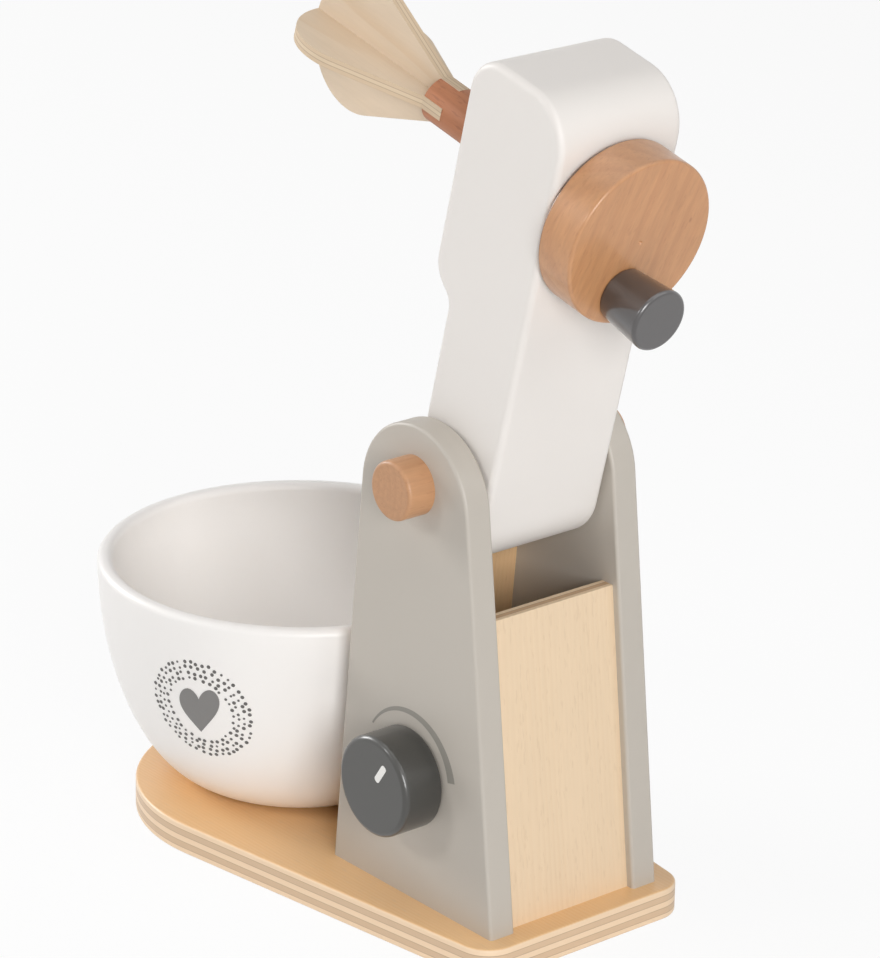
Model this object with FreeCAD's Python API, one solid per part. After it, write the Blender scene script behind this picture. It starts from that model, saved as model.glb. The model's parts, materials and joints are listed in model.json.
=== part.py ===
import FreeCAD, Part
import math
import os
from FreeCAD import Vector

# Toy stand mixer of wood, with its head tilted back over the tower.
# Millimetres, +Z up. The bowl stands at the -Y end, the speed dial is on the +X side.
# The origin is the middle of the base board's underside.

# Base board: wide and round at the bowl, narrower behind the tower
base_length = 240.0
base_thickness = 13.0
base_front_width = 168.0     # between the side lines at the front edge, before the corners are rounded
base_front_flat = 10.0       # what the two large front corners leave straight of the front edge
base_rear_radius = 13.0
base_rear_margin = 7.9       # from the tower's feet to the rear edge
base_side_margin = 8.85      # from the tower's sides to the side lines at the rear edge
base_edge_round = 1.2

# Tower: two side panels that lean together towards a round crown
tower_width = 85.0
side_thickness = 12.0
foot_front = 46.3            # from the pivot's axis to the front end of the foot
foot_rear = 49.9
crown_radius = 31.3
crown_drop = 8.0             # the crown's centre lies this far below the pivot
crown_forward = 0.9
side_edge_round = 1.4

# Boards between the side panels
board_thickness = 6.0
front_board_inset = 5.7
rear_board_inset = 3.5
rear_board_top = 135.8       # above the table

# Pivot of the head
pivot_height = 184.3         # above the table
axle_diameter = 10.0
cap_diameter = 23.4
cap_length = 12.2
cap_bore_depth = 8.0
cap_round = 1.6

# Head, measured from the pivot while it lies level: reach forwards, height upwards
head_top = 27.3
neck_depth = 15.5
nose_depth = 26.3
nose_overhang = 48.2         # from the crank's axis to the nose's end
tail_reach = 31.5
step_start = 68.7            # where the underside starts down from the neck to the nose
step_run = 8.1
step_hollow_radius = 7.0
step_round_radius = 14.0
nose_chin_radius = 15.0
nose_brow_radius = 20.8
tail_back_radius = 20.8
tail_heel_radius = 4.0
head_edge_round = 2.8

# Crank wheel, its shaft and its grip
wheel_diameter = 66.6
wheel_thickness = 18.0
wheel_gap = 1.0
wheel_edge_round = 1.2
wheel_bore_depth = 12.0
centre_mark_diameter = 1.8
centre_mark_depth = 0.8
shaft_diameter = 10.0
washer_diameter = 22.0
grip_margin = 2.1            # from the grip's foot to the wheel's side
grip_angle = -79.0           # about the crank's axis, from +X towards the nose
grip_base_diameter = 21.0
grip_end_diameter = 24.8
grip_length = 21.5
grip_end_round = 1.4
grip_base_round = 0.8
grip_pin_diameter = 6.0
grip_pin_in_wheel = 10.0
grip_pin_in_grip = 13.0

# Whisk: a slotted hub with two crossed blades
hub_diameter = 18.6
hub_length = 43.0
hub_gap = 0.5
hub_bore_depth = 20.0
hub_slot_depth = 11.0
hub_end_chamfer = 0.6
blade_thickness = 5.0
blade_length = 74.4          # the part that stands out of the hub
blade_width = 54.6           # also the diameter of its round end
blade_angle = 3.0            # of the first blade about the crank's axis, from +X towards the nose

# Bowl
bowl_gap = 6.9               # between its rim and the front board
bowl_ahead = 1.8             # how far its axis stands ahead of the whisk's, with the head down
bowl_rim_diameter = 165.6
bowl_height = 94.0
bowl_wall = 6.5
bowl_floor = 7.5
bowl_foot_diameter = 81.0
bowl_foot_sweep = 20.5       # how far the outline runs outwards before it turns up
bowl_side_sweep = 52.7       # how far below the rim the side stands upright
bowl_lip_flat = 0.7          # what the lip's two rounds leave of the wall

# Speed dial on the right side panel
dial_height = 64.6
dial_diameter = 40.6
dial_length = 18.3
dial_gap = 0.5
dial_edge_round = 2.2
dial_base_round = 1.1
dial_screw_diameter = 4.0
dial_screw_in_knob = 12.0
dial_screw_head_diameter = 8.0
dial_screw_head_height = 2.6
dial_screw_head_round = 0.9
dial_washer_diameter = 13.0
dial_washer_thickness = 1.0

# Fixings
base_screw_diameter = 4.0
base_screw_head_diameter = 8.0
base_screw_head_height = 2.6
base_screw_length = 38.0
base_screw_sink = 0.4
base_screw_margin = 18.0     # from the ends of the side panels' feet
screw_point_length = 4.0
recess_width = 1.0
recess_depth = 1.5
recess_share = 0.55          # of the screw's head
dowel_diameter = 3.0
dowel_depth = 7.0            # into each of the two boards that it joins
dowel_margin = 18.0          # from the upper and lower end of a board

# Clearances
running_fit = 0.08           # radial, of a shaft that turns in a hole
seat_gap = 0.3               # between pieces that move apart
stop_gap = 0.3               # between the head and the front board at both ends of its tilt
head_side_gap = 1.0          # between the head and each side panel

# Places of the tower
foot_rear_y = base_length / 2 - base_rear_margin
pivot_y = foot_rear_y - foot_rear
foot_front_y = pivot_y - foot_front
crown_y = pivot_y - crown_forward
crown_z = pivot_height - crown_drop
side_outer = tower_width / 2
side_inner = side_outer - side_thickness
side_middle = side_outer - side_thickness / 2
front_board_top = pivot_height - neck_depth - stop_gap
X_AXIS = Vector(1, 0, 0)
Z_AXIS = Vector(0, 0, 1)
PIVOT = Vector(0, pivot_y, pivot_height)
SAME_PLACE = 1e-4            # points closer than this count as one


def edge_lean(foot_y):
    """Angle from upright of the side panel's edge, from the foot's end to its tangent on the crown."""
    run = abs(crown_y - foot_y)
    rise = crown_z - base_thickness
    return math.atan2(run, rise) - math.asin(crown_radius / math.hypot(run, rise))


front_lean = edge_lean(foot_front_y)
rear_lean = edge_lean(foot_rear_y)

# Places of the bowl and of the head's nose over it
bowl_bottom = base_thickness + seat_gap
bowl_rim = bowl_bottom + bowl_height
board_at_rim_y = (foot_front_y + front_board_inset / math.cos(front_lean)
                  + (bowl_rim - base_thickness) * math.tan(front_lean))
bowl_y = board_at_rim_y - bowl_gap - bowl_rim_diameter / 2
crank_y = bowl_y + bowl_ahead
nose_reach = pivot_y - crank_y + nose_overhang
head_width = 2 * (side_inner - head_side_gap)


def opening_angle():
    """How far the level head tilts back before its heel meets the inner face of the front board."""
    heel_back = tail_reach - tail_heel_radius
    heel_down = neck_depth - tail_heel_radius
    edge_distance = foot_front * math.cos(front_lean) - (pivot_height - base_thickness) * math.sin(front_lean)
    board_distance = edge_distance - front_board_inset - board_thickness
    share = (board_distance - tail_heel_radius - stop_gap) / math.hypot(heel_back, heel_down)
    turned = math.pi - math.atan2(heel_down, heel_back) + front_lean - math.acos(share)
    return math.degrees(turned)


open_angle = opening_angle()


def rounded_wire(corners, place):
    """Closed wire through the corners (a, b, radius), each rounded by an arc. place maps (a, b) to a point."""
    starts = []
    middles = []
    ends = []
    for index, (a, b, radius) in enumerate(corners):
        corner = Vector(a, b, 0)
        before = corners[index - 1]
        after = corners[(index + 1) % len(corners)]
        back = (Vector(before[0], before[1], 0) - corner).normalize()
        forth = (Vector(after[0], after[1], 0) - corner).normalize()
        half = back.getAngle(forth) / 2
        cut = radius / math.tan(half)
        bisector = (back + forth).normalize()
        starts.append(corner + back * cut)
        middles.append(corner + bisector * (radius / math.sin(half) - radius))
        ends.append(corner + forth * cut)
    edges = []
    for index, (start, middle, end) in enumerate(zip(starts, middles, ends)):
        if corners[index][2] > 0:
            arc = Part.Arc(place(start.x, start.y), place(middle.x, middle.y), place(end.x, end.y))
            edges.append(arc.toShape())
        following = starts[(index + 1) % len(starts)]
        if end.distanceToPoint(following) > SAME_PLACE:
            edges.append(Part.makeLine(place(end.x, end.y), place(following.x, following.y)))
    return Part.Wire(edges)


def extruded(wire, direction):
    return Part.Face(wire).extrude(direction)


def cylinder(radius, length, start, axis):
    return Part.makeCylinder(radius, length, start, axis)


def edges_on_plane(shape, axis, value):
    """Edges that lie wholly at one value of x, y or z."""
    low = {"x": "XMin", "y": "YMin", "z": "ZMin"}[axis]
    high = {"x": "XMax", "y": "YMax", "z": "ZMax"}[axis]
    found = []
    for edge in shape.Edges:
        box = edge.BoundBox
        if abs(getattr(box, low) - value) < SAME_PLACE and abs(getattr(box, high) - value) < SAME_PLACE:
            found.append(edge)
    return found


def rounded_edges(shape, radius, axis, *values):
    """Rounds the edges that lie on the given planes."""
    edges = []
    for value in values:
        edges += edges_on_plane(shape, axis, value)
    return shape.makeFillet(radius, edges)


def tilted(shape):
    """Turns a piece of the level head back to its open position."""
    return shape.rotate(PIVOT, X_AXIS, -open_angle)


def turned_with_crank(shape, angle):
    """Turns a piece about the crank's upright axis, from +X towards the nose."""
    return shape.rotate(Vector(0, crank_y, 0), Z_AXIS, -angle)


def cross_recess(centre, axis, head_diameter):
    """Cutter for a cross recess that goes from centre along axis into a screw's head."""
    reach = head_diameter * recess_share
    along = Part.makeBox(reach, recess_width, recess_depth, Vector(-reach / 2, -recess_width / 2, 0))
    across = Part.makeBox(recess_width, reach, recess_depth, Vector(-recess_width / 2, -reach / 2, 0))
    cutter = along.fuse(across).removeSplitter()
    cutter.Placement = FreeCAD.Placement(centre, FreeCAD.Rotation(Z_AXIS, axis))
    return cutter


# Base board and the screws from below

def base_screw_places():
    places = []
    for x in (-side_middle, side_middle):
        for y in (foot_front_y + base_screw_margin, foot_rear_y - base_screw_margin):
            places.append((x, y))
    return places


def screw_blank(x, y):
    """Countersunk screw with a plain shank and a point, without its recess."""
    head_low = base_screw_sink
    shank_low = head_low + base_screw_head_height
    shank = base_screw_diameter / 2
    point_low = head_low + base_screw_length - screw_point_length
    head = Part.makeCone(base_screw_head_diameter / 2, shank, base_screw_head_height, Vector(x, y, head_low))
    body = cylinder(shank, point_low - shank_low, Vector(x, y, shank_low), Z_AXIS)
    point = Part.makeCone(shank, 0, screw_point_length, Vector(x, y, point_low))
    return head.fuse([body, point]).removeSplitter()


def base_screws():
    screws = []
    for x, y in base_screw_places():
        recess = cross_recess(Vector(x, y, base_screw_sink), Z_AXIS, base_screw_head_diameter)
        screws.append(screw_blank(x, y).cut(recess))
    return Part.makeCompound(screws)


def base_board():
    front = -base_length / 2
    rear = base_length / 2
    front_half = base_front_width / 2
    rear_half = side_outer + base_side_margin
    side_angle = math.atan2(base_length, front_half - rear_half)
    front_radius = (front_half - base_front_flat / 2) * math.tan(side_angle / 2)
    corners = [
        (front_half, front, front_radius),
        (rear_half, rear, base_rear_radius),
        (-rear_half, rear, base_rear_radius),
        (-front_half, front, front_radius),
    ]
    outline = rounded_wire(corners, lambda a, b: Vector(a, b, 0))
    board = extruded(outline, Vector(0, 0, base_thickness))
    board = rounded_edges(board, base_edge_round, "z", 0, base_thickness)
    for x, y in base_screw_places():
        mouth = cylinder(base_screw_head_diameter / 2, base_screw_sink, Vector(x, y, 0), Z_AXIS)
        board = board.cut(mouth).cut(screw_blank(x, y))
    return board


# Boards between the side panels

def board_profile(foot_y, lean, inset, inwards, top):
    """Corners (y, z) of a leaning board: inwards is 1 for the front board and -1 for the rear one."""
    outer = foot_y + inwards * inset / math.cos(lean)
    inner = outer + inwards * board_thickness / math.cos(lean)
    shift = inwards * (top - base_thickness) * math.tan(lean)
    return [(outer, base_thickness), (outer + shift, top), (inner + shift, top), (inner, base_thickness)]


def front_profile():
    return board_profile(foot_front_y, front_lean, front_board_inset, 1, front_board_top)


def rear_profile():
    return board_profile(foot_rear_y, rear_lean, rear_board_inset, -1, rear_board_top)


def dowel_places(profile):
    """Points (y, z) of a board's dowels, on its middle plane."""
    low_y = (profile[0][0] + profile[3][0]) / 2
    high_y = (profile[1][0] + profile[2][0]) / 2
    low_z = profile[0][1]
    high_z = profile[1][1]
    places = []
    for z in (low_z + dowel_margin, high_z - dowel_margin):
        share = (z - low_z) / (high_z - low_z)
        places.append((low_y + share * (high_y - low_y), z))
    return places


def panel_dowels(profile):
    dowels = []
    for side in (-1, 1):
        for y, z in dowel_places(profile):
            start = Vector(side * (side_inner + dowel_depth), y, z)
            dowels.append(cylinder(dowel_diameter / 2, 2 * dowel_depth, start, X_AXIS * -side))
    return Part.makeCompound(dowels)


def cross_board(profile):
    points = [Vector(-side_inner, y, z) for y, z in profile]
    board = extruded(Part.makePolygon(points + points[:1]), Vector(2 * side_inner, 0, 0))
    return board.cut(panel_dowels(profile))


# Side panels

def side_outline(x):
    """Closed outline of a side panel: a straight foot, two leaning edges and the round crown."""
    front_tangent = Vector(x, crown_y - crown_radius * math.cos(front_lean),
                           crown_z + crown_radius * math.sin(front_lean))
    rear_tangent = Vector(x, crown_y + crown_radius * math.cos(rear_lean),
                          crown_z + crown_radius * math.sin(rear_lean))
    top = Vector(x, crown_y, crown_z + crown_radius)
    front_foot = Vector(x, foot_front_y, base_thickness)
    rear_foot = Vector(x, foot_rear_y, base_thickness)
    return Part.Wire([
        Part.makeLine(rear_foot, front_foot),
        Part.makeLine(front_foot, front_tangent),
        Part.Arc(front_tangent, top, rear_tangent).toShape(),
        Part.makeLine(rear_tangent, rear_foot),
    ])


def side_panel(side):
    """Side panel: side is 1 on the right, where the dial is, and -1 on the left."""
    panel = extruded(side_outline(side * side_inner), Vector(side * side_thickness, 0, 0))
    rims = []
    for edge in edges_on_plane(panel, "x", side * side_inner) + edges_on_plane(panel, "x", side * side_outer):
        if edge.BoundBox.ZMax > base_thickness + SAME_PLACE:
            rims.append(edge)
    panel = panel.makeFillet(side_edge_round, rims)
    start = Vector(side * side_inner, pivot_y, pivot_height)
    panel = panel.cut(cylinder(axle_diameter / 2, side_thickness, start, X_AXIS * side))
    if side > 0:
        hole_radius = dial_screw_diameter / 2 + running_fit
        hole_start = Vector(side_inner, pivot_y, dial_height)
        panel = panel.cut(cylinder(hole_radius, side_thickness, hole_start, X_AXIS))
    panel = panel.cut(panel_dowels(front_profile())).cut(panel_dowels(rear_profile()))
    for x, y in base_screw_places():
        if x * side > 0:
            panel = panel.cut(screw_blank(x, y))
    return panel


# Pivot axle and its caps

def pivot_axle():
    reach = side_outer + cap_bore_depth
    return cylinder(axle_diameter / 2, 2 * reach, Vector(-reach, pivot_y, pivot_height), X_AXIS)


def pivot_cap(side):
    start = Vector(side * side_outer, pivot_y, pivot_height)
    cap = cylinder(cap_diameter / 2, cap_length, start, X_AXIS * side)
    cap = rounded_edges(cap, cap_round, "x", side * (side_outer + cap_length))
    return cap.cut(cylinder(axle_diameter / 2, cap_bore_depth, start, X_AXIS * side))


# Head, built level and then tilted back

def head_point(reach, height):
    return Vector(-head_width / 2, pivot_y - reach, pivot_height + height)


def head_block():
    corners = [
        (-tail_reach, -neck_depth, tail_heel_radius),
        (step_start, -neck_depth, step_hollow_radius),
        (step_start + step_run, -nose_depth, step_round_radius),
        (nose_reach, -nose_depth, nose_chin_radius),
        (nose_reach, head_top, nose_brow_radius),
        (-tail_reach, head_top, tail_back_radius),
    ]
    block = extruded(rounded_wire(corners, head_point), Vector(head_width, 0, 0))
    block = rounded_edges(block, head_edge_round, "x", -head_width / 2, head_width / 2)
    axle_start = Vector(-head_width / 2, pivot_y, pivot_height)
    block = block.cut(cylinder(axle_diameter / 2 + running_fit, head_width, axle_start, X_AXIS))
    shaft_start = Vector(0, crank_y, pivot_height - nose_depth)
    bore = cylinder(shaft_diameter / 2 + running_fit, nose_depth + head_top, shaft_start, Z_AXIS)
    return tilted(block.cut(bore))


def crank_washer():
    bottom = Vector(0, crank_y, pivot_height + head_top)
    thickness = wheel_gap - seat_gap
    ring = cylinder(washer_diameter / 2, thickness, bottom, Z_AXIS)
    return tilted(ring.cut(cylinder(shaft_diameter / 2 + running_fit, thickness, bottom, Z_AXIS)))


# Crank wheel, shaft and grip

wheel_low = pivot_height + head_top + wheel_gap
wheel_high = wheel_low + wheel_thickness
grip_offset = wheel_diameter / 2 - grip_margin - grip_base_diameter / 2
hub_high = pivot_height - nose_depth - hub_gap
hub_low = hub_high - hub_length


def on_crank(z):
    return Vector(0, crank_y, z)


def on_grip(z):
    return Vector(grip_offset, crank_y, z)


def crank_wheel():
    wheel = cylinder(wheel_diameter / 2, wheel_thickness, on_crank(wheel_low), Z_AXIS)
    wheel = rounded_edges(wheel, wheel_edge_round, "z", wheel_low, wheel_high)
    wheel = wheel.cut(cylinder(shaft_diameter / 2, wheel_bore_depth, on_crank(wheel_low), Z_AXIS))
    wheel = wheel.cut(cylinder(grip_pin_diameter / 2, grip_pin_in_wheel,
                               on_grip(wheel_high - grip_pin_in_wheel), Z_AXIS))
    mark = Part.makeCone(0, centre_mark_diameter / 2, centre_mark_depth, on_crank(wheel_high - centre_mark_depth))
    return tilted(turned_with_crank(wheel.cut(mark), grip_angle))


def drive_shaft():
    low = hub_high - hub_bore_depth
    return tilted(cylinder(shaft_diameter / 2, wheel_low + wheel_bore_depth - low, on_crank(low), Z_AXIS))


def crank_grip():
    grip = Part.makeCone(grip_base_diameter / 2, grip_end_diameter / 2, grip_length, on_grip(wheel_high))
    grip = rounded_edges(grip, grip_end_round, "z", wheel_high + grip_length)
    grip = rounded_edges(grip, grip_base_round, "z", wheel_high)
    grip = grip.cut(cylinder(grip_pin_diameter / 2, grip_pin_in_grip, on_grip(wheel_high), Z_AXIS))
    return tilted(turned_with_crank(grip, grip_angle))


def grip_pin():
    low = wheel_high - grip_pin_in_wheel
    pin = cylinder(grip_pin_diameter / 2, grip_pin_in_wheel + grip_pin_in_grip, on_grip(low), Z_AXIS)
    return tilted(turned_with_crank(pin, grip_angle))


# Whisk

def blade_outline(place):
    """Outline of a blade, from its tang in the hub to its round end.

    place maps the distance from the hub's end and the radius from the crank's axis to a point.
    """
    hub_radius = hub_diameter / 2
    end_radius = blade_width / 2
    end_centre = blade_length - end_radius
    # The flank runs straight from the hub's rim and touches the round end
    flank = math.asin(end_radius / math.hypot(end_centre, hub_radius)) - math.atan2(hub_radius, end_centre)
    flank_end = (end_centre - end_radius * math.sin(flank), end_radius * math.cos(flank))

    def half(side):
        return [
            Part.makeLine(place(-hub_slot_depth, side * hub_radius), place(0, side * hub_radius)),
            Part.makeLine(place(0, side * hub_radius), place(flank_end[0], side * flank_end[1])),
        ]

    right = half(1)
    left = half(-1)
    end = Part.Arc(place(flank_end[0], flank_end[1]), place(blade_length, 0),
                   place(flank_end[0], -flank_end[1])).toShape()
    tang = Part.makeLine(place(-hub_slot_depth, -hub_radius), place(-hub_slot_depth, hub_radius))
    return Part.Wire([tang] + right + [end] + left[::-1])


def whisk_blade(slot_from_tip):
    """One blade. The halving slot runs from its tip or from its tang to the middle."""
    half_thickness = blade_thickness / 2

    def place(t, r):
        return Vector(r, crank_y - half_thickness, hub_low - t)

    blade = extruded(blade_outline(place), Vector(0, blade_thickness, 0))
    middle = (blade_length - hub_slot_depth) / 2
    reach = (blade_length + hub_slot_depth) / 2
    low = hub_low - middle - reach if slot_from_tip else hub_low - middle
    slot = Part.makeBox(blade_thickness, blade_thickness, reach,
                        Vector(-half_thickness, crank_y - half_thickness, low))
    return blade.cut(slot)


def whisk_blade_a():
    return tilted(turned_with_crank(whisk_blade(True), blade_angle))


def whisk_blade_b():
    return tilted(turned_with_crank(whisk_blade(False), blade_angle + 90))


def whisk_hub():
    hub = cylinder(hub_diameter / 2, hub_length, on_crank(hub_low), Z_AXIS)
    hub = hub.makeChamfer(hub_end_chamfer, edges_on_plane(hub, "z", hub_high))
    hub = hub.cut(cylinder(shaft_diameter / 2, hub_bore_depth, on_crank(hub_high - hub_bore_depth), Z_AXIS))
    for length, width in ((hub_diameter, blade_thickness), (blade_thickness, hub_diameter)):
        slot = Part.makeBox(length, width, hub_slot_depth, Vector(-length / 2, crank_y - width / 2, hub_low))
        hub = hub.cut(slot)
    return tilted(turned_with_crank(hub, blade_angle))


# Bowl

def bowl():
    foot = bowl_foot_diameter / 2
    outer = bowl_rim_diameter / 2
    inner = outer - bowl_wall

    def at(radius, z):
        return Vector(radius, bowl_y, z)

    def side(start_radius, low, end_radius):
        curve = Part.BezierCurve()
        curve.setPoles([at(start_radius, low), at(start_radius + bowl_foot_sweep, low),
                        at(end_radius, bowl_rim - bowl_side_sweep), at(end_radius, bowl_rim)])
        return curve.toShape()

    floor = bowl_bottom + bowl_floor
    inner_foot = foot - bowl_wall
    outline = Part.Wire([
        Part.makeLine(at(0, bowl_bottom), at(foot, bowl_bottom)),
        side(foot, bowl_bottom, outer),
        Part.makeLine(at(outer, bowl_rim), at(inner, bowl_rim)),
        side(inner_foot, floor, inner),
        Part.makeLine(at(inner_foot, floor), at(0, floor)),
        Part.makeLine(at(0, floor), at(0, bowl_bottom)),
    ])
    solid = Part.Face(outline).revolve(at(0, 0), Z_AXIS, 360)
    return rounded_edges(solid, (bowl_wall - bowl_lip_flat) / 2, "z", bowl_rim)


# Speed dial

def dial_knob():
    start = Vector(side_outer + dial_gap, pivot_y, dial_height)
    knob = cylinder(dial_diameter / 2, dial_length, start, X_AXIS)
    knob = rounded_edges(knob, dial_edge_round, "x", side_outer + dial_gap + dial_length)
    knob = rounded_edges(knob, dial_base_round, "x", side_outer + dial_gap)
    return knob.cut(cylinder(dial_screw_diameter / 2, dial_screw_in_knob, start, X_AXIS))


def dial_screw():
    head_right = side_inner - dial_washer_thickness - seat_gap
    head_left = head_right - dial_screw_head_height
    axis_point = Vector(head_left, pivot_y, dial_height)
    head = cylinder(dial_screw_head_diameter / 2, dial_screw_head_height, axis_point, X_AXIS)
    head = rounded_edges(head, dial_screw_head_round, "x", head_left)
    shank_end = side_outer + dial_gap + dial_screw_in_knob
    shank = cylinder(dial_screw_diameter / 2, shank_end - head_right,
                     Vector(head_right, pivot_y, dial_height), X_AXIS)
    recess = cross_recess(axis_point, X_AXIS, dial_screw_head_diameter)
    return head.fuse(shank).removeSplitter().cut(recess)


def dial_washer():
    start = Vector(side_inner - dial_washer_thickness, pivot_y, dial_height)
    ring = cylinder(dial_washer_diameter / 2, dial_washer_thickness, start, X_AXIS)
    return ring.cut(cylinder(dial_screw_diameter / 2 + running_fit, dial_washer_thickness, start, X_AXIS))


nodes = {
    "base_board": base_board(),
    "side_panel_right": side_panel(1),
    "side_panel_left": side_panel(-1),
    "front_panel": cross_board(front_profile()),
    "rear_panel": cross_board(rear_profile()),
    "front_panel_dowels": panel_dowels(front_profile()),
    "rear_panel_dowels": panel_dowels(rear_profile()),
    "base_screws": base_screws(),
    "pivot_axle": pivot_axle(),
    "pivot_cap_right": pivot_cap(1),
    "pivot_cap_left": pivot_cap(-1),
    "head_block": head_block(),
    "crank_washer": crank_washer(),
    "crank_wheel": crank_wheel(),
    "drive_shaft": drive_shaft(),
    "crank_grip": crank_grip(),
    "grip_pin": grip_pin(),
    "whisk_hub": whisk_hub(),
    "whisk_blade_a": whisk_blade_a(),
    "whisk_blade_b": whisk_blade_b(),
    "bowl": bowl(),
    "dial_knob": dial_knob(),
    "dial_screw": dial_screw(),
    "dial_washer": dial_washer(),
}

os.makedirs("parts", exist_ok=True)
for name, shape in nodes.items():
    shape.exportStep("parts/" + name + ".step")
    box = shape.BoundBox
    print(name, "valid", shape.isValid(), "solids", len(shape.Solids), "volume", round(shape.Volume, 1),
          "x", round(box.XMin, 2), round(box.XMax, 2), "y", round(box.YMin, 2), round(box.YMax, 2),
          "z", round(box.ZMin, 2), round(box.ZMax, 2))
print("the head opens by", round(open_angle, 2), "degrees")
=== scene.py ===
import json
import math
import random

import bmesh
import bpy
from mathutils import Matrix, Vector
from mathutils.bvhtree import BVHTree


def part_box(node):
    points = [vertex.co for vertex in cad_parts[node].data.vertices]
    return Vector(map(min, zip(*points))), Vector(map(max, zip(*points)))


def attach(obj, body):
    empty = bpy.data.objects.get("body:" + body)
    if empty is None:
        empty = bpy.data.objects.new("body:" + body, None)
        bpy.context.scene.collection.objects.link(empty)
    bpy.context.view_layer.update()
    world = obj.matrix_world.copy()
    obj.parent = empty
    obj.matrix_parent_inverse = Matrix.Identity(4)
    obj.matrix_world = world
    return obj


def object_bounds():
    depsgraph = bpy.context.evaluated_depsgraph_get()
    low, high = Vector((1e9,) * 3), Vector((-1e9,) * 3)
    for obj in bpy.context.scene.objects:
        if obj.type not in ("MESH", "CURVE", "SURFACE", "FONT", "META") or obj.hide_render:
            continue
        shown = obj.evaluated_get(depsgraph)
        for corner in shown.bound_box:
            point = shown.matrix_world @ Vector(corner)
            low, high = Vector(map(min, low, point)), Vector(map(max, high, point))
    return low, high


# Toy stand mixer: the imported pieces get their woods, paints and plywood here, and the prints are added.
# Metres, +Z up, the bowl at the -Y end and the speed dial on the +X side.

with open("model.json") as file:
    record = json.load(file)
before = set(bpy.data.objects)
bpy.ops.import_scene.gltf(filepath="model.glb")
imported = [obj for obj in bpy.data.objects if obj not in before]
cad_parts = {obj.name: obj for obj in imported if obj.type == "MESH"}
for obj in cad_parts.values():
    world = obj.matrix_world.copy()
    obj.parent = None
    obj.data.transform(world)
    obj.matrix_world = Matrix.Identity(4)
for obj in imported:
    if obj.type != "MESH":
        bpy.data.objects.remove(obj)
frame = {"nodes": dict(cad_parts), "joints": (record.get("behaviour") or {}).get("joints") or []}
cad_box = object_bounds()
nodes = frame["nodes"]
joints = {joint["name"]: joint for joint in frame["joints"]}

MM = 0.001

# Directions and places, taken from the joints and the pieces
PIVOT = Vector(joints["head_tilt"]["pos_m"])
CRANK = Vector(joints["crank_spin"]["pos_m"])
CRANK_AXIS = Vector(joints["crank_spin"]["axis"]).normalized()
DIAL = Vector(joints["dial_turn"]["pos_m"])
X = Vector((1, 0, 0))
Y = Vector((0, 1, 0))
Z = Vector((0, 0, 1))
TO_NOSE = X.cross(CRANK_AXIS)        # along the tilted head, from the pivot to the nose
if TO_NOSE.z < 0:
    TO_NOSE.negate()


# Small tools for shader trees

def add(tree, kind, inputs=None, **settings):
    """Adds a node. inputs maps a socket to a value, or to the output that feeds it."""
    node = tree.nodes.new(kind)
    for name, value in settings.items():
        setattr(node, name, value)
    for socket, value in (inputs or {}).items():
        if isinstance(value, bpy.types.NodeSocket):
            tree.links.new(value, node.inputs[socket])
        else:
            node.inputs[socket].default_value = value
    return node


def maths(tree, operation, *values, clamp=False):
    return add(tree, "ShaderNodeMath", dict(enumerate(values)), operation=operation, use_clamp=clamp).outputs[0]


def vector_maths(tree, operation, *values):
    node = add(tree, "ShaderNodeVectorMath", dict(enumerate(values)), operation=operation)
    return node.outputs["Value"] if operation == "DOT_PRODUCT" else node.outputs[0]


def mixed(tree, share, first, second, blend="MIX"):
    """Mixes two colours."""
    node = add(tree, "ShaderNodeMix", data_type="RGBA", blend_type=blend)
    for socket, value in ((node.inputs[0], share), (node.inputs[6], first), (node.inputs[7], second)):
        if isinstance(value, bpy.types.NodeSocket):
            tree.links.new(value, socket)
        else:
            socket.default_value = value
    return node.outputs[2]


def eased(tree, value, low, high):
    """0 below low, 1 above high, and a smooth step between them."""
    node = add(tree, "ShaderNodeMapRange", {0: value, 1: low, 2: high}, interpolation_type="SMOOTHSTEP")
    return node.outputs[0]


def noise(tree, place, scale, detail=2.0, roughness=0.5):
    inputs = {"Vector": place, "Scale": scale, "Detail": detail, "Roughness": roughness}
    return add(tree, "ShaderNodeTexNoise", inputs).outputs["Fac"]


def stretched(tree, place, along):
    """Scales a place along Z only, so that a pattern runs long there when along is under 1."""
    return vector_maths(tree, "MULTIPLY", place, (1, 1, along))


def swing(tree, value):
    """A noise as a swing about zero."""
    return maths(tree, "SUBTRACT", value, 0.5)


def left_of_one(tree, value):
    return maths(tree, "SUBTRACT", 1.0, value)


def srgb(red, green, blue):
    """Colour written in the usual 0 to 255 values, for a shader."""
    linear = []
    for value in (red, green, blue):
        share = value / 255
        linear.append(share / 12.92 if share <= 0.04045 else ((share + 0.055) / 1.055) ** 2.4)
    return (*linear, 1.0)


def new_group(name, inputs, outputs):
    """Shader node group with named sockets. Returns its tree, its inputs and its outputs."""
    tree = bpy.data.node_groups.new(name, "ShaderNodeTree")
    for label, kind in inputs:
        tree.interface.new_socket(label, in_out="INPUT", socket_type="NodeSocket" + kind)
    for label, kind in outputs:
        tree.interface.new_socket(label, in_out="OUTPUT", socket_type="NodeSocket" + kind)
    return tree, tree.nodes.new("NodeGroupInput").outputs, tree.nodes.new("NodeGroupOutput").inputs


# Effects that several finishes share

# How many features of each pattern of the wood lie across one metre of it
RING_WAVES = 28.0
LATE_PATCHES = 60.0
BROAD_STREAKS = 70.0
FINE_STREAKS = 560.0
FIBRES = 1800.0
FLECKS = 900.0
SPECK_CELLS = 46.0
SPECK_THRESHOLD = 0.8        # a cell holds a speck where its random number is above this

# How much each of them counts in the tone of the wood
FINE_STREAK_SHARE = 1.3
BROAD_STREAK_SHARE = 0.7
FIBRE_SHARE = 0.45


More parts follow.
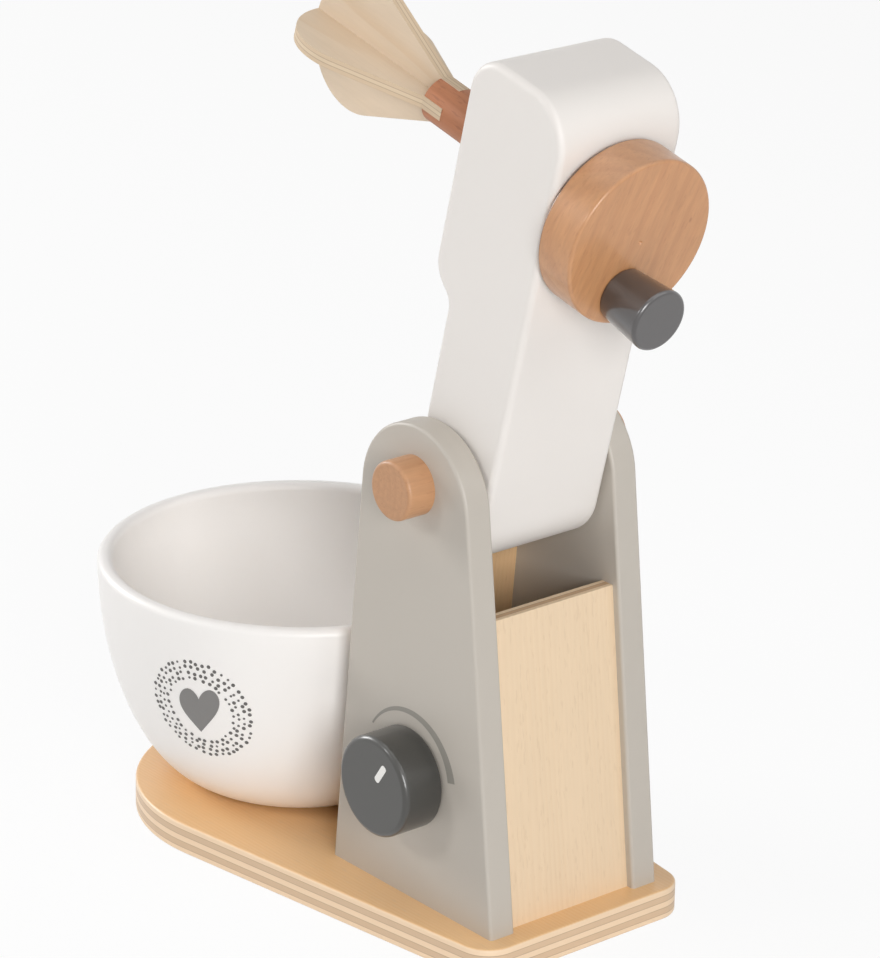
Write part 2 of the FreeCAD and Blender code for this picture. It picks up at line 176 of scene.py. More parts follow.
def make_wood_grain():
    """Solid wood. Place runs with X across the growth rings and Z along the grain, in metres."""
    tree, given, out = new_group("wood_grain", [
        ("Place", "Vector"), ("Facing", "Vector"), ("Early Wood", "Color"), ("Late Wood", "Color"),
        ("Fleck Colour", "Color"), ("Ring Width", "Float"), ("Ring Wave", "Float"), ("Pith Distance", "Float"),
        ("Late Strength", "Float"), ("Streak Strength", "Float"), ("Fleck Strength", "Float"),
        ("End Darkening", "Float"),
    ], [("Color", "Color"), ("Height", "Float")])
    place = given["Place"]
    parts = add(tree, "ShaderNodeSeparateXYZ", {0: place}).outputs

    # Growth rings: each one darkens slowly and ends sharply
    slow = noise(tree, stretched(tree, place, 0.12), RING_WAVES, 2.0)
    wave = maths(tree, "MULTIPLY", swing(tree, slow), given["Ring Wave"])
    from_pith = maths(tree, "ADD", parts["X"], given["Pith Distance"])
    radius = maths(tree, "SQRT", maths(tree, "ADD", maths(tree, "MULTIPLY", from_pith, from_pith),
                                       maths(tree, "MULTIPLY", parts["Y"], parts["Y"])))
    phase = maths(tree, "FRACT", maths(tree, "DIVIDE", maths(tree, "ADD", radius, wave), given["Ring Width"]))
    late = maths(tree, "SUBTRACT", eased(tree, phase, 0.15, 0.88), eased(tree, phase, 0.88, 1.0), clamp=True)
    patchy = eased(tree, noise(tree, stretched(tree, place, 0.2), LATE_PATCHES, 1.0), 0.25, 0.75)
    late = maths(tree, "MULTIPLY", late, maths(tree, "MULTIPLY_ADD", patchy, 0.7, 0.3))
    late = maths(tree, "MULTIPLY", late, given["Late Strength"])
    colour = mixed(tree, late, given["Early Wood"], given["Late Wood"])

    # Streaks a few millimetres long and the fine fibre, both lighter and darker than the wood around them
    broad = noise(tree, stretched(tree, place, 0.25), BROAD_STREAKS, 1.0)
    streak = noise(tree, stretched(tree, place, 0.13), FINE_STREAKS, 2.0, 0.55)
    fibre = noise(tree, stretched(tree, place, 0.03), FIBRES, 2.0, 0.6)
    tones = maths(tree, "MULTIPLY_ADD", swing(tree, streak), FINE_STREAK_SHARE,
                  maths(tree, "MULTIPLY", swing(tree, broad), BROAD_STREAK_SHARE))
    tones = maths(tree, "MULTIPLY_ADD", swing(tree, fibre), FIBRE_SHARE, tones)
    tone = maths(tree, "MULTIPLY_ADD", tones, given["Streak Strength"], 1.0)
    colour = mixed(tree, 1.0, colour, tone, "MULTIPLY")

    # Short darker flecks, and now and then a small dark speck
    fleck = eased(tree, noise(tree, stretched(tree, place, 0.2), FLECKS, 1.0), 0.60, 0.72)
    colour = mixed(tree, maths(tree, "MULTIPLY", fleck, given["Fleck Strength"]), colour, given["Fleck Colour"])
    cell = add(tree, "ShaderNodeTexVoronoi", {"Vector": stretched(tree, place, 0.6), "Scale": SPECK_CELLS})
    drawn = add(tree, "ShaderNodeSeparateColor", {0: cell.outputs["Color"]}).outputs[0]
    chosen = maths(tree, "GREATER_THAN", drawn, SPECK_THRESHOLD)
    near = left_of_one(tree, eased(tree, cell.outputs["Distance"], 0.015, 0.045))
    speck = maths(tree, "MULTIPLY", maths(tree, "MULTIPLY", near, chosen), 0.6)
    colour = mixed(tree, speck, colour, given["Fleck Colour"])

    # End grain is darker
    along = vector_maths(tree, "DOT_PRODUCT", given["Facing"], (0, 0, 1))
    end_grain = maths(tree, "POWER", maths(tree, "ABSOLUTE", along), 2.0)
    shade = left_of_one(tree, maths(tree, "MULTIPLY", end_grain, given["End Darkening"]))
    colour = mixed(tree, 1.0, colour, shade, "MULTIPLY")
    tree.links.new(colour, out["Color"])
    tree.links.new(maths(tree, "MULTIPLY_ADD", fleck, -0.5, maths(tree, "ADD", streak, fibre)), out["Height"])
    return tree


PLY_RING_WIDTH = 1.6 * MM
PLY_RING_WAVE = 9.0 * MM
PLY_PITH_DISTANCE = 0.3      # veneer is peeled far from the pith
PLY_FLECK_STRENGTH = 0.12
LOG_STEP = 0.137             # from one veneer's place in the log to the next one's
FACE_SKIN = 0.2 * MM         # the outer faces read as this deep inside their veneer
GLUE_CORE = 0.05 * MM        # half the glue line where it is darkest
GLUE_REACH = 0.25 * MM       # and where it ends


def make_plywood(wood_grain):
    """Crossed veneers. Place runs with X through the sheet from its low face, Z along the face veneer's grain."""
    tree, given, out = new_group("plywood", [
        ("Place", "Vector"), ("Facing", "Vector"), ("Early Wood", "Color"), ("Late Wood", "Color"),
        ("Edge Ply", "Color"), ("Crossed Ply", "Color"), ("Glue", "Color"), ("Thickness", "Float"),
        ("Plies", "Float"), ("Late Strength", "Float"), ("Streak Strength", "Float"), ("End Darkening", "Float"),
    ], [("Color", "Color"), ("Height", "Float"), ("Edge", "Float")])
    parts = add(tree, "ShaderNodeSeparateXYZ", {0: given["Place"]}).outputs
    facing = add(tree, "ShaderNodeSeparateXYZ", {0: given["Facing"]}).outputs
    depth = maths(tree, "MINIMUM", maths(tree, "MAXIMUM", parts["X"], FACE_SKIN),
                  maths(tree, "SUBTRACT", given["Thickness"], FACE_SKIN))
    ply = maths(tree, "DIVIDE", given["Thickness"], given["Plies"])
    layer = maths(tree, "DIVIDE", depth, ply)
    veneer = maths(tree, "FLOOR", layer)
    crossed = maths(tree, "MODULO", veneer, 2.0)
    swapped = []
    for source in (parts, facing):
        first = add(tree, "ShaderNodeMix", {0: crossed, 2: source["Y"], 3: source["Z"]}).outputs[0]
        second = add(tree, "ShaderNodeMix", {0: crossed, 2: source["Z"], 3: source["Y"]}).outputs[0]
        swapped.append((first, second))
    # Each veneer is cut from another place of the log
    shift = maths(tree, "MULTIPLY", veneer, LOG_STEP)
    ply_place = add(tree, "ShaderNodeCombineXYZ", {0: parts["X"], 1: maths(tree, "ADD", swapped[0][0], shift),
                                                   2: maths(tree, "ADD", swapped[0][1], shift)}).outputs[0]
    ply_facing = add(tree, "ShaderNodeCombineXYZ", {0: facing["X"], 1: swapped[1][0], 2: swapped[1][1]}).outputs[0]
    grain = add(tree, "ShaderNodeGroup", {
        "Place": ply_place, "Facing": ply_facing, "Early Wood": given["Early Wood"],
        "Late Wood": given["Late Wood"], "Fleck Colour": given["Crossed Ply"], "Ring Width": PLY_RING_WIDTH,
        "Ring Wave": PLY_RING_WAVE, "Pith Distance": PLY_PITH_DISTANCE, "Late Strength": given["Late Strength"],
        "Streak Strength": given["Streak Strength"], "Fleck Strength": PLY_FLECK_STRENGTH,
        "End Darkening": given["End Darkening"]}, node_tree=wood_grain)
    from_joint = swing(tree, maths(tree, "FRACT", maths(tree, "ADD", layer, 0.5)))
    to_joint = maths(tree, "MULTIPLY", maths(tree, "ABSOLUTE", from_joint), ply)
    glue = left_of_one(tree, eased(tree, to_joint, GLUE_CORE, GLUE_REACH))
    edge = left_of_one(tree, eased(tree, maths(tree, "ABSOLUTE", facing["X"]), 0.5, 0.95))
    # The sawn edge is paler than the lacquered face, and there the crossed veneers show their darker end grain
    ply_colour = mixed(tree, crossed, given["Edge Ply"], given["Crossed Ply"])
    colour = mixed(tree, maths(tree, "MULTIPLY", edge, 0.8), grain.outputs["Color"], ply_colour)
    colour = mixed(tree, maths(tree, "MULTIPLY", glue, 0.5), colour, given["Glue"])
    tree.links.new(colour, out["Color"])
    tree.links.new(maths(tree, "SUBTRACT", grain.outputs["Height"], glue), out["Height"])
    tree.links.new(edge, out["Edge"])
    return tree


PAINT_SPECK = (0.2, 0.18, 0.16, 1.0)


def make_paint_film():
    """Sprayed paint on wood: a faint unevenness of tone and the fine skin of the spray."""
    tree, given, out = new_group("paint_film", [
        ("Place", "Vector"), ("Paint", "Color"), ("Unevenness", "Float"), ("Gloss", "Float"),
    ], [("Color", "Color"), ("Roughness", "Float"), ("Height", "Float")])
    place = given["Place"]
    broad = noise(tree, place, 18.0, 3.0)
    skin = noise(tree, place, 520.0, 2.0)
    tone = maths(tree, "MULTIPLY_ADD", swing(tree, broad), given["Unevenness"], 1.0)
    speck = eased(tree, noise(tree, place, 900.0, 1.0), 0.74, 0.80)
    colour = mixed(tree, 1.0, given["Paint"], tone, "MULTIPLY")
    colour = mixed(tree, maths(tree, "MULTIPLY", speck, given["Unevenness"]), colour, PAINT_SPECK)
    roughness = maths(tree, "MULTIPLY_ADD", swing(tree, broad), 0.12, given["Gloss"])
    tree.links.new(colour, out["Color"])
    tree.links.new(roughness, out["Roughness"])
    tree.links.new(maths(tree, "MULTIPLY_ADD", broad, 0.5, skin), out["Height"])
    return tree


wood_grain = make_wood_grain()
plywood = make_plywood(wood_grain)
paint_film = make_paint_film()


# Finishes

def new_material(name):
    material = bpy.data.materials.new(name)
    material.use_nodes = True
    tree = material.node_tree
    tree.nodes.clear()
    surface = tree.nodes.new("ShaderNodeBsdfPrincipled")
    target = tree.nodes.new("ShaderNodeOutputMaterial")
    tree.links.new(surface.outputs[0], target.inputs[0])
    return material, tree, surface


def turned_place(tree, across, along, centre):
    """The piece's own coordinates and facing, turned so that X runs with across and Z with along."""
    along = Vector(along).normalized()
    across = Vector(across)
    across = (across - along * along.dot(across)).normalized()
    turn = Matrix((across, along.cross(across), along))
    angles = turn.to_euler("XYZ")
    source = tree.nodes.new("ShaderNodeTexCoord")
    place = add(tree, "ShaderNodeMapping", {"Vector": source.outputs["Object"], "Rotation": angles,
                                            "Location": -(turn @ Vector(centre))})
    facing = add(tree, "ShaderNodeMapping", {"Vector": source.outputs["Normal"], "Rotation": angles},
                 vector_type="VECTOR")
    return place.outputs[0], facing.outputs[0]


def dress(tree, surface, colour, roughness, coat=0.0, coat_roughness=0.15):
    """Gives a surface its colour, roughness and coat, each a value or the output that feeds it."""
    inputs = {"Base Color": colour, "Roughness": roughness, "Coat Weight": coat, "Coat Roughness": coat_roughness}
    for socket, value in inputs.items():
        if isinstance(value, bpy.types.NodeSocket):
            tree.links.new(value, surface.inputs[socket])
        else:
            surface.inputs[socket].default_value = value


def add_bump(tree, surface, height, strength, distance=0.1 * MM):
    bump = add(tree, "ShaderNodeBump", {"Height": height, "Strength": strength, "Distance": distance})
    tree.links.new(bump.outputs[0], surface.inputs["Normal"])


# Painted shadow for the narrow gaps between parts: its colour and how dark it gets
SEAM_SHADOW_COLOUR = (0.045, 0.022, 0.012, 1.0)
SEAM_SHADOW_STRENGTH = 0.9


def painted_seam_shadow(tree, colour, shadowed_seam):
    """Painted shadow: darkens the foot of a piece's side where it meets its neighbour, as the narrow gap there
    lies in shade. The seam is a point, a direction and a reach.
    """
    point, away, reach = shadowed_seam
    source = tree.nodes.new("ShaderNodeTexCoord").outputs
    from_point = vector_maths(tree, "SUBTRACT", source["Object"], tuple(point))
    depth = vector_maths(tree, "DOT_PRODUCT", from_point, tuple(away))
    foot = left_of_one(tree, eased(tree, depth, 0.3 * reach, reach))
    facing = maths(tree, "ABSOLUTE", vector_maths(tree, "DOT_PRODUCT", source["Normal"], tuple(away)))
    side = left_of_one(tree, eased(tree, facing, 0.75, 0.95))
    shade = maths(tree, "MULTIPLY", maths(tree, "MULTIPLY", foot, side), SEAM_SHADOW_STRENGTH)
    return mixed(tree, shade, colour, SEAM_SHADOW_COLOUR)


def solid_wood(name, across, along, centre, early, late, fleck, *, ring_width, pith_distance, late_strength,
               streaks, fleck_strength, ring_wave=3 * MM, end_darkening=0.2, roughness=0.45, coat=0.0, shadowed_seam=None):
    """Wood cut from one piece. across runs over the growth rings and along with the grain."""
    material, tree, surface = new_material(name)
    place, facing = turned_place(tree, across, along, centre)
    grain = add(tree, "ShaderNodeGroup", {
        "Place": place, "Facing": facing, "Early Wood": early, "Late Wood": late, "Fleck Colour": fleck,
        "Ring Width": ring_width, "Ring Wave": ring_wave, "Pith Distance": pith_distance,
        "Late Strength": late_strength, "Streak Strength": streaks, "Fleck Strength": fleck_strength,
        "End Darkening": end_darkening}, node_tree=wood_grain)
    colour = painted_seam_shadow(tree, grain.outputs["Color"], shadowed_seam) if shadowed_seam else grain.outputs["Color"]
    dress(tree, surface, colour, roughness, coat)
    add_bump(tree, surface, grain.outputs["Height"], 0.25)
    return material


def sheet_wood(name, through, along, low_face, thickness, plies, early, late, edge, crossed, glue, *,
               late_strength, streaks, roughness, coat=0.0):
    """Plywood whose sheet starts at the point low_face and goes on towards through."""
    material, tree, surface = new_material(name)
    place, facing = turned_place(tree, through, along, low_face)
    sheet = add(tree, "ShaderNodeGroup", {
        "Place": place, "Facing": facing, "Early Wood": early, "Late Wood": late, "Edge Ply": edge,
        "Crossed Ply": crossed, "Glue": glue, "Thickness": thickness, "Plies": plies,
        "Late Strength": late_strength, "Streak Strength": streaks, "End Darkening": 0.1}, node_tree=plywood)
    edge_roughness = maths(tree, "MULTIPLY_ADD", sheet.outputs["Edge"], 0.2, roughness)
    dress(tree, surface, sheet.outputs["Color"], edge_roughness, coat, coat_roughness=0.25)
    add_bump(tree, surface, sheet.outputs["Height"], 0.2)
    return material


def paint(name, colour, unevenness, gloss, coat=0.0, coat_roughness=0.1, skin=0.12, shadowed_seam=None):
    """Sprayed paint, lacquer or ink. gloss is its roughness and skin the height of the spray's fine skin."""
    material, tree, surface = new_material(name)
    source = tree.nodes.new("ShaderNodeTexCoord")
    film = add(tree, "ShaderNodeGroup", {"Place": source.outputs["Object"], "Paint": colour,
                                         "Unevenness": unevenness, "Gloss": gloss}, node_tree=paint_film)
    shown = painted_seam_shadow(tree, film.outputs["Color"], shadowed_seam) if shadowed_seam else film.outputs["Color"]
    dress(tree, surface, shown, film.outputs["Roughness"], coat, coat_roughness)
    add_bump(tree, surface, film.outputs["Height"], skin)
    return material


def brushed_metal(name, colour, axis, centre):
    """Zinc-plated steel with fine turning marks round its axis."""
    material, tree, surface = new_material(name)
    place, _ = turned_place(tree, axis.orthogonal(), axis, centre)
    marks = noise(tree, stretched(tree, place, 6), 900.0, 3.0)
    darker = tuple(0.8 * channel for channel in colour[:3]) + (1.0,)
    tree.links.new(mixed(tree, marks, colour, darker), surface.inputs["Base Color"])
    surface.inputs["Metallic"].default_value = 1.0
    tree.links.new(maths(tree, "MULTIPLY_ADD", marks, 0.25, 0.22), surface.inputs["Roughness"])
    add_bump(tree, surface, marks, 0.1, 0.05 * MM)
    return material


def finish_nodes(material, *names):
    for name in names:
        mesh = nodes[name].data
        mesh.materials.clear()
        mesh.materials.append(material)


def node_middle(name):
    low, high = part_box(name)
    return (low + high) / 2


def rear_seam_shadow(name, away, reach):
    """Where the painted seam shadow starts: the piece's face that looks against a direction."""
    nearest = min(nodes[name].data.vertices, key=lambda vertex: vertex.co.dot(away))
    return nearest.co.copy(), away, reach


# Woods
birch_early = srgb(239, 214, 181)
birch_late = srgb(232, 202, 163)
birch_edge = srgb(232, 208, 176)
birch_crossed = srgb(186, 148, 110)
birch_glue = srgb(128, 92, 62)
honey_early = srgb(241, 197, 143)
honey_late = srgb(232, 178, 118)
beech_early = srgb(195, 142, 98)
beech_late = srgb(174, 118, 77)
beech_fleck = srgb(148, 94, 60)

base_low, base_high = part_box("base_board")
finish_nodes(
    sheet_wood("lacquered_birch_base", Z, Y, base_low, base_high.z - base_low.z, 5, honey_early, honey_late,
               srgb(244, 220, 191), srgb(212, 186, 158), srgb(150, 118, 90), late_strength=0.4, streaks=0.05,
               roughness=0.36, coat=0.25), "base_board")


def board_directions(name):
    """Low face point, direction through the board and direction up the board, from the node's sloping side."""
    vertices = [vertex.co for vertex in nodes[name].data.vertices]
    bottom = min(v.z for v in vertices)
    top = max(v.z for v in vertices)
    foot = sorted(v.y for v in vertices if v.z < bottom + 0.01 * MM)
    head = sorted(v.y for v in vertices if v.z > top - 0.01 * MM)
    low_face = Vector((0, foot[0], bottom))
    up = (Vector((0, head[0], top)) - low_face).normalized()
    through = up.cross(X)
    if through.y < 0:
        through.negate()
    thickness = (foot[-1] - foot[0]) * up.z
    return low_face, through, up, thickness


# The front board is the rear board's birch tinted warmer and more orange: painted warm bounce light, for its face
# seen in shade inside the tower
front_warm_lit_early = srgb(243, 203, 155)
front_warm_lit_late = srgb(234, 188, 134)
for name, early, late in (("front_panel", front_warm_lit_early, front_warm_lit_late), ("rear_panel", birch_early, birch_late)):
    low_face, through, up, thickness = board_directions(name)
    finish_nodes(sheet_wood("birch_" + name, through, up, low_face, thickness, 3, early, late, birch_edge,
                            birch_crossed, birch_glue, late_strength=0.3, streaks=0.05, roughness=0.42,
                            coat=0.15), name)


def blade_directions(name):
    """Low face point, direction through a whisk blade's sheet and its thickness."""
    largest = max(nodes[name].data.polygons, key=lambda face: face.area)
    through = largest.normal.copy()
    depths = [(vertex.co - CRANK).dot(through) for vertex in nodes[name].data.vertices]
    return CRANK + through * min(depths), through, max(depths) - min(depths)


for name in ("whisk_blade_a", "whisk_blade_b"):
    low_face, through, thickness = blade_directions(name)
    finish_nodes(sheet_wood("birch_" + name, through, CRANK_AXIS, low_face, thickness, 3, srgb(225, 206, 182),
                            srgb(215, 188, 155), srgb(214, 190, 160), srgb(224, 203, 174), srgb(150, 118, 88),
                            late_strength=0.5, streaks=0.08, roughness=0.55), name)

wheel_grain = TO_NOSE - X * 0.31 + CRANK_AXIS * 0.1
# The wheel's rim is darkened at its back edge: a painted shadow of the gap against the head
finish_nodes(
    solid_wood("beech_wheel", X + CRANK_AXIS * 0.35, wheel_grain, CRANK, beech_early, beech_late, beech_fleck,
               ring_width=6.5 * MM, ring_wave=6 * MM, pith_distance=0.3, late_strength=0.35, streaks=0.2,
               fleck_strength=0.18, end_darkening=0.06, roughness=0.38, coat=0.35,
               shadowed_seam=rear_seam_shadow("crank_wheel", CRANK_AXIS, 1.5 * MM)), "crank_wheel")
finish_nodes(
    solid_wood("beech_cross_dowels", Y, X, PIVOT, srgb(196, 147, 107), srgb(178, 125, 86), beech_fleck,
               ring_width=3.4 * MM, pith_distance=0.03, late_strength=0.25, streaks=0.2, fleck_strength=0.15,
               end_darkening=0.08, coat=0.1),
    "pivot_axle", "pivot_cap_right", "pivot_cap_left", "front_panel_dowels", "rear_panel_dowels")
finish_nodes(
    solid_wood("beech_crank_dowels", X, CRANK_AXIS, CRANK, beech_early, beech_late, beech_fleck,
               ring_width=2 * MM, pith_distance=0.02, late_strength=0.5, streaks=0.2, fleck_strength=0.25),
    "drive_shaft", "grip_pin")
finish_nodes(
    solid_wood("red_beech_hub", X, CRANK_AXIS, CRANK, srgb(184, 118, 78), srgb(160, 95, 58), srgb(130, 72, 44),
               ring_width=2.4 * MM, pith_distance=0.04, late_strength=0.5, streaks=0.25, fleck_strength=0.3,
               roughness=0.5),
    "whisk_hub")

# Paints
finish_nodes(paint("grey_panel_paint", srgb(191, 184, 174), 0.05, 0.42), "side_panel_right", "side_panel_left")
finish_nodes(paint("white_head_paint", srgb(233, 228, 223), 0.03, 0.45), "head_block")
finish_nodes(paint("white_bowl_lacquer", srgb(248, 245, 242), 0.02, 0.4), "bowl")
finish_nodes(paint("dark_dial_gloss", srgb(62, 61, 58), 0.05, 0.35, coat=0.5, coat_roughness=0.05, skin=0.03),
             "dial_knob")
# The grip's foot is darkened: a painted shadow of the gap against the wheel
finish_nodes(paint("dark_grip_gloss", srgb(68, 65, 65), 0.05, 0.35, coat=1.0, coat_roughness=0.05, skin=0.03,
                   shadowed_seam=rear_seam_shadow("crank_grip", CRANK_AXIS, 1.6 * MM)), "crank_grip")

# Fixings
zinc = srgb(190, 190, 186)
finish_nodes(brushed_metal("zinc_base_screws", zinc, Z, base_low), "base_screws")
finish_nodes(brushed_metal("zinc_dial_fixings", zinc, X, DIAL), "dial_screw", "dial_washer")
finish_nodes(paint("fibre_washer", srgb(70, 62, 54), 0.3, 0.75, skin=0.4), "crank_washer")


# Prints: thin films of ink that lie on the piece under them

INK_LIFT = 0.07 * MM         # of the ink's outer face over the piece
INK_THICKNESS = 0.12 * MM


def new_piece(name, mesh_source, material, body):
    mesh = bpy.data.meshes.new(name)
    mesh_source.to_mesh(mesh)
    mesh_source.free()
    mesh.materials.append(material)
    piece = bpy.data.objects.new(name, mesh)
    bpy.context.scene.collection.objects.link(piece)
    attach(piece, body)


def surface_tree(name):
    """The node's surface, for finding where a ray meets it."""
    mesh = nodes[name].data
    return BVHTree.FromPolygons([v.co for v in mesh.vertices], [tuple(face.vertices) for face in mesh.polygons])


def disc(shape, rings, steps):
    """Adds a disc of quads with a radius of one about the origin to an empty bmesh, in the XY plane."""
    points = [shape.verts.new((index / rings, 0, 0)) for index in range(rings + 1)]
    for first, second in zip(points, points[1:]):
        shape.edges.new((first, second))
    bmesh.ops.spin(shape, geom=points + shape.edges[:], cent=(0, 0, 0), axis=(0, 0, 1), dvec=(0, 0, 0),
                   angle=2 * math.pi, steps=steps, use_merge=True)
    bmesh.ops.remove_doubles(shape, verts=shape.verts, dist=1e-6)


def give_thickness(shape):
    """Makes a closed film of open faces: it goes down from them by the ink's thickness."""
    bmesh.ops.recalc_face_normals(shape, faces=shape.faces)
    bmesh.ops.solidify(shape, geom=shape.faces[:], thickness=INK_THICKNESS)
    bmesh.ops.recalc_face_normals(shape, faces=shape.faces)


# Bowl print: a heart in a wreath of dots
print_azimuth = math.radians(21.2)   # about the bowl's axis, from +X towards +Y
print_height = 66.5 * MM
heart_width = 18.8 * MM
heart_height = 21 * MM
heart_rise = 0.16                    # how far its right side stands higher than its left, for each unit across
heart_lean = 0.075                   # how far its top leans to the right, for each unit up
heart_lift = 1.5 * MM                # of its middle over the wreath's
wreath_radii = (15.0 * MM, 17.3 * MM, 19.6 * MM, 21.9 * MM)
dot_spacing = 2.95 * MM
dot_scatter = 0.55 * MM
largest_dot = 0.78 * MM
middling_dot = 0.65 * MM
smallest_dot = 0.48 * MM
largest_dot_share = 0.55             # of all dots, the others are drawn between smallest and middling

bowl_middle = node_middle("bowl")
bowl_surface = surface_tree("bowl")
bowl_out = Vector((math.cos(print_azimuth), math.sin(print_azimuth), 0))
bowl_along = Z.cross(bowl_out)
bowl_axis_point = Vector((bowl_middle.x, bowl_middle.y, print_height))
far_out = 0.2                        # a ray starts here, well outside the bowl
print_centre, print_normal, _, _ = bowl_surface.ray_cast(bowl_axis_point + bowl_out * far_out, -bowl_out)
print_up = print_normal.cross(bowl_along).normalized()


def onto_bowl(a, b):
    """Point of the bowl's outside, a to the side and b up from the middle of the print."""
    start = print_centre + bowl_along * a + print_up * b + print_normal * far_out
    hit, normal, _, _ = bowl_surface.ray_cast(start, -print_normal)
    return hit + normal * INK_LIFT


HEART_CURVE_HEIGHT = 1.81    # of the curve below before it is made one unit high


def heart_outline(angle):
    """Point of a heart's outline, one unit wide and high. Its flanks run straight into the point."""
    side = abs(math.sin(angle))
    straight = max(0.0, -math.cos(angle))
    across = math.copysign(side * side * (side ** 0.6 * (1 - straight) + straight), math.sin(angle))
    upwards = (13 * math.cos(angle) - 5 * math.cos(2 * angle) - 2 * math.cos(3 * angle) - math.cos(4 * angle)) / 16
    return across / 2, upwards / HEART_CURVE_HEIGHT


def heart_print():
    shape = bmesh.new()
    disc(shape, rings=8, steps=96)
    for vertex in shape.verts:
        share = vertex.co.to_2d().length
        angle = math.atan2(vertex.co.x, vertex.co.y)
        a, b = heart_outline(angle)
        a, b = share * a * heart_width, share * b * heart_height
        vertex.co = onto_bowl(a + heart_lean * b, heart_lift + b + heart_rise * a)
    give_thickness(shape)
    return shape


def wreath_print():
    """Rings of small dots, scattered a little and of many sizes."""
    scatter = random.Random(11)
    shape = bmesh.new()
    for ring, radius in enumerate(wreath_radii):
        count = round(2 * math.pi * radius / dot_spacing)
        for index in range(count):
            angle = 2 * math.pi * (index + 0.5 * (ring % 2)) / count
            reach = radius + scatter.uniform(-dot_scatter, dot_scatter)
            angle += scatter.uniform(-dot_scatter, dot_scatter) / radius
            middle = Vector((reach * math.cos(angle), reach * math.sin(angle), 0))
            large = scatter.random() < largest_dot_share
            size = largest_dot if large else scatter.uniform(smallest_dot, middling_dot)
            bmesh.ops.create_circle(shape, cap_ends=True, cap_tris=True, segments=12, radius=size,
                                    matrix=Matrix.Translation(middle))
    for vertex in shape.verts:
        vertex.co = onto_bowl(vertex.co.x, vertex.co.y)
    give_thickness(shape)
    return shape


dark_ink = paint("dark_grey_ink", srgb(128, 126, 124), 0.05, 0.5)
dot_ink = paint("dark_dot_ink", srgb(98, 96, 93), 0.05, 0.5)
white_ink = paint("white_ink", srgb(238, 236, 232), 0.02, 0.4)
scale_ink = paint("grey_scale_ink", srgb(147, 143, 135), 0.05, 0.5)
new_piece("heart_print", heart_print(), dark_ink, "bowl")
new_piece("wreath_print", wreath_print(), dot_ink, "bowl")

# Dial scale: a crescent that widens as it comes round
scale_start = math.radians(149)      # from +Y towards +Z
scale_end = math.radians(12)
scale_radius = 27.2 * MM
scale_thin = 0.75 * MM
scale_thick = 4.2 * MM


def scale_print():
    shape = bmesh.new()
    bmesh.ops.create_grid(shape, x_segments=72, y_segments=2, size=0.5)
    for vertex in shape.verts:
        share = vertex.co.x + 0.5
        angle = scale_start + (scale_end - scale_start) * share
        width = scale_thin + (scale_thick - scale_thin) * share
        radius = scale_radius - width * (vertex.co.y + 0.5)
        vertex.co = DIAL + Vector((INK_LIFT, radius * math.cos(angle), radius * math.sin(angle)))
    give_thickness(shape)
    return shape


new_piece("dial_scale", scale_print(), scale_ink, "frame")

# Dial mark: a rounded bar of white on the knob's face
mark_angle = math.radians(56)
mark_near = 4.2 * MM
mark_far = 13.3 * MM
mark_width = 2.9 * MM
mark_corner = 1.15 * MM


def dial_mark():
    shape = bmesh.new()
    bmesh.ops.create_cube(shape, size=1.0)
    bmesh.ops.scale(shape, vec=(INK_THICKNESS, mark_far - mark_near, mark_width), verts=shape.verts)
    corners = [edge for edge in shape.edges if abs(edge.verts[0].co.x - edge.verts[1].co.x) > INK_THICKNESS / 2]
    bmesh.ops.bevel(shape, geom=corners, offset=mark_corner, segments=6, profile=0.5, affect="EDGES", material=-1)
    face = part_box("dial_knob")[1].x
    turn = Matrix.Rotation(mark_angle, 3, "X")
    middle = turn @ Vector((0, (mark_near + mark_far) / 2, 0))
    bmesh.ops.rotate(shape, cent=(0, 0, 0), matrix=turn, verts=shape.verts)
    place = Vector((face + INK_LIFT - INK_THICKNESS / 2, DIAL.y + middle.y, DIAL.z + middle.z))
    bmesh.ops.translate(shape, vec=place, verts=shape.verts)
    return shape


new_piece("dial_mark", dial_mark(), white_ink, "dial")


# Floor, world, lamps and camera

WHITE = (1.0, 1.0, 1.0, 1.0)
FLOOR_GREY = (0.88, 0.88, 0.88, 1.0)
FLOOR_SEEN_WHITE = 0.91      # how far the floor is plain white where the camera sees it
AMBIENT = 0.05               # strength of the world's light on the object
OBJECT_MIDDLE = (cad_box[0] + cad_box[1]) / 2


def seen_by_eye(tree):
    """1 for rays from the camera and for what gloss and glass show, else 0."""
    path = tree.nodes.new("ShaderNodeLightPath").outputs
    direct = maths(tree, "MAXIMUM", path["Is Camera Ray"], path["Is Glossy Ray"])
    return maths(tree, "MAXIMUM", direct, path["Is Transmission Ray"])


def make_floor():
    """Pale floor. The camera sees it nearly white, with the object's soft shadow left on it."""
    shape = bmesh.new()
    bmesh.ops.create_circle(shape, cap_ends=True, segments=64, radius=12.0)
    mesh = bpy.data.meshes.new("floor")
    shape.to_mesh(mesh)
    shape.free()
    floor = bpy.data.objects.new("floor", mesh)
    bpy.context.scene.collection.objects.link(floor)
    material = bpy.data.materials.new("pale_floor")
    material.use_nodes = True
    tree = material.node_tree
    tree.nodes.clear()
    lit = add(tree, "ShaderNodeBsdfDiffuse", {"Color": FLOOR_GREY})
    plain = add(tree, "ShaderNodeEmission", {"Color": WHITE, "Strength": 1.0})
    seen = maths(tree, "MULTIPLY", seen_by_eye(tree), FLOOR_SEEN_WHITE)
    blend = add(tree, "ShaderNodeMixShader", {0: seen, 1: lit.outputs[0], 2: plain.outputs[0]})
    add(tree, "ShaderNodeOutputMaterial", {0: blend.outputs[0]})
    mesh.materials.append(material)


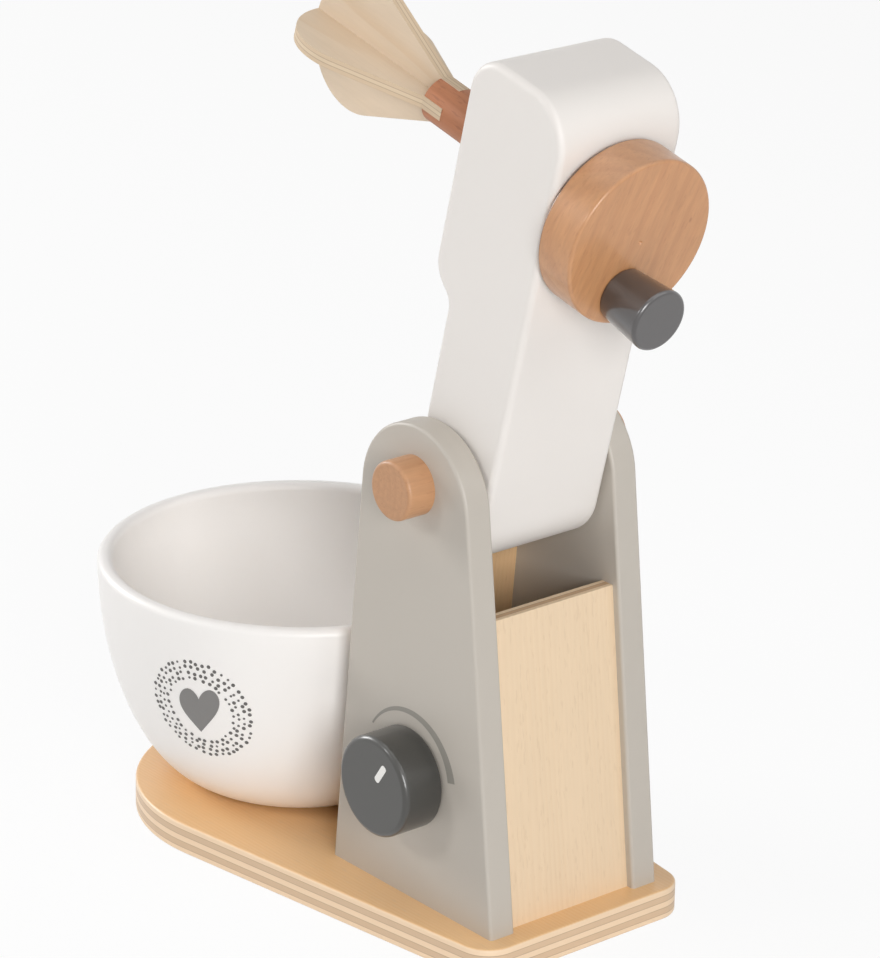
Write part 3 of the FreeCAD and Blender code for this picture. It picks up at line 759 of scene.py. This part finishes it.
def make_world():
    world = bpy.data.worlds.new("soft_white")
    bpy.context.scene.world = world
    world.use_nodes = True
    tree = world.node_tree
    tree.nodes.clear()
    strength = maths(tree, "MULTIPLY_ADD", seen_by_eye(tree), 1.0 - AMBIENT, AMBIENT)
    background = add(tree, "ShaderNodeBackground", {"Color": WHITE, "Strength": strength})
    add(tree, "ShaderNodeOutputWorld", {0: background.outputs[0]})


def soft_box(name, direction, distance, size, power):
    """Square lamp that looks at the middle of the object from a direction."""
    lamp = bpy.data.lights.new(name, "AREA")
    lamp.shape = "SQUARE"
    lamp.size = size
    lamp.energy = power
    box = bpy.data.objects.new(name, lamp)
    aim = Vector(direction).normalized()
    box.location = OBJECT_MIDDLE + aim * distance
    box.rotation_euler = aim.to_track_quat("Z", "Y").to_euler()
    bpy.context.scene.collection.objects.link(box)


make_floor()
make_world()
soft_box("main_from_the_bowl_end", (0.30, -0.90, 0.35), distance=2.2, size=0.9, power=27.0)
soft_box("soft_from_the_camera", (0.42, 0.82, 0.27), distance=2.2, size=0.9, power=28.0)
soft_box("soft_from_behind", (-0.35, 0.75, 0.70), distance=1.8, size=1.4, power=7.5)
soft_box("soft_from_above", (0.05, 0.0, 1.0), distance=1.8, size=1.4, power=7.5)
soft_box("small_from_the_dial_side", (0.85, -0.25, 0.50), distance=1.6, size=0.28, power=3.6)

view_azimuth = math.radians(139.757)
view_elevation = math.radians(21.123)
view_roll = math.radians(1.149)
view_distance = 1.5832
view_target = Vector((0.09093, 0.13379, 0.21993))
view_lens = 167.97           # in mm, for a sensor 36 mm wide


def make_camera():
    camera = bpy.data.cameras.new("photo_view")
    camera.sensor_width = 36.0
    camera.lens = view_lens
    camera.clip_end = 50.0
    eye = bpy.data.objects.new("photo_view", camera)
    back = Vector((math.sin(view_azimuth) * math.cos(view_elevation),
                   -math.cos(view_azimuth) * math.cos(view_elevation), math.sin(view_elevation)))
    right = Vector((math.cos(view_azimuth), math.sin(view_azimuth), 0))
    up = back.cross(right)
    rolled_right = right * math.cos(view_roll) + up * math.sin(view_roll)
    rolled_up = back.cross(rolled_right)
    turn = Matrix((rolled_right, rolled_up, back)).transposed().to_4x4()
    eye.matrix_world = Matrix.Translation(view_target + back * view_distance) @ turn
    bpy.context.scene.collection.objects.link(eye)
    bpy.context.scene.camera = eye


make_camera()
bpy.context.scene.view_settings.view_transform = "Standard"
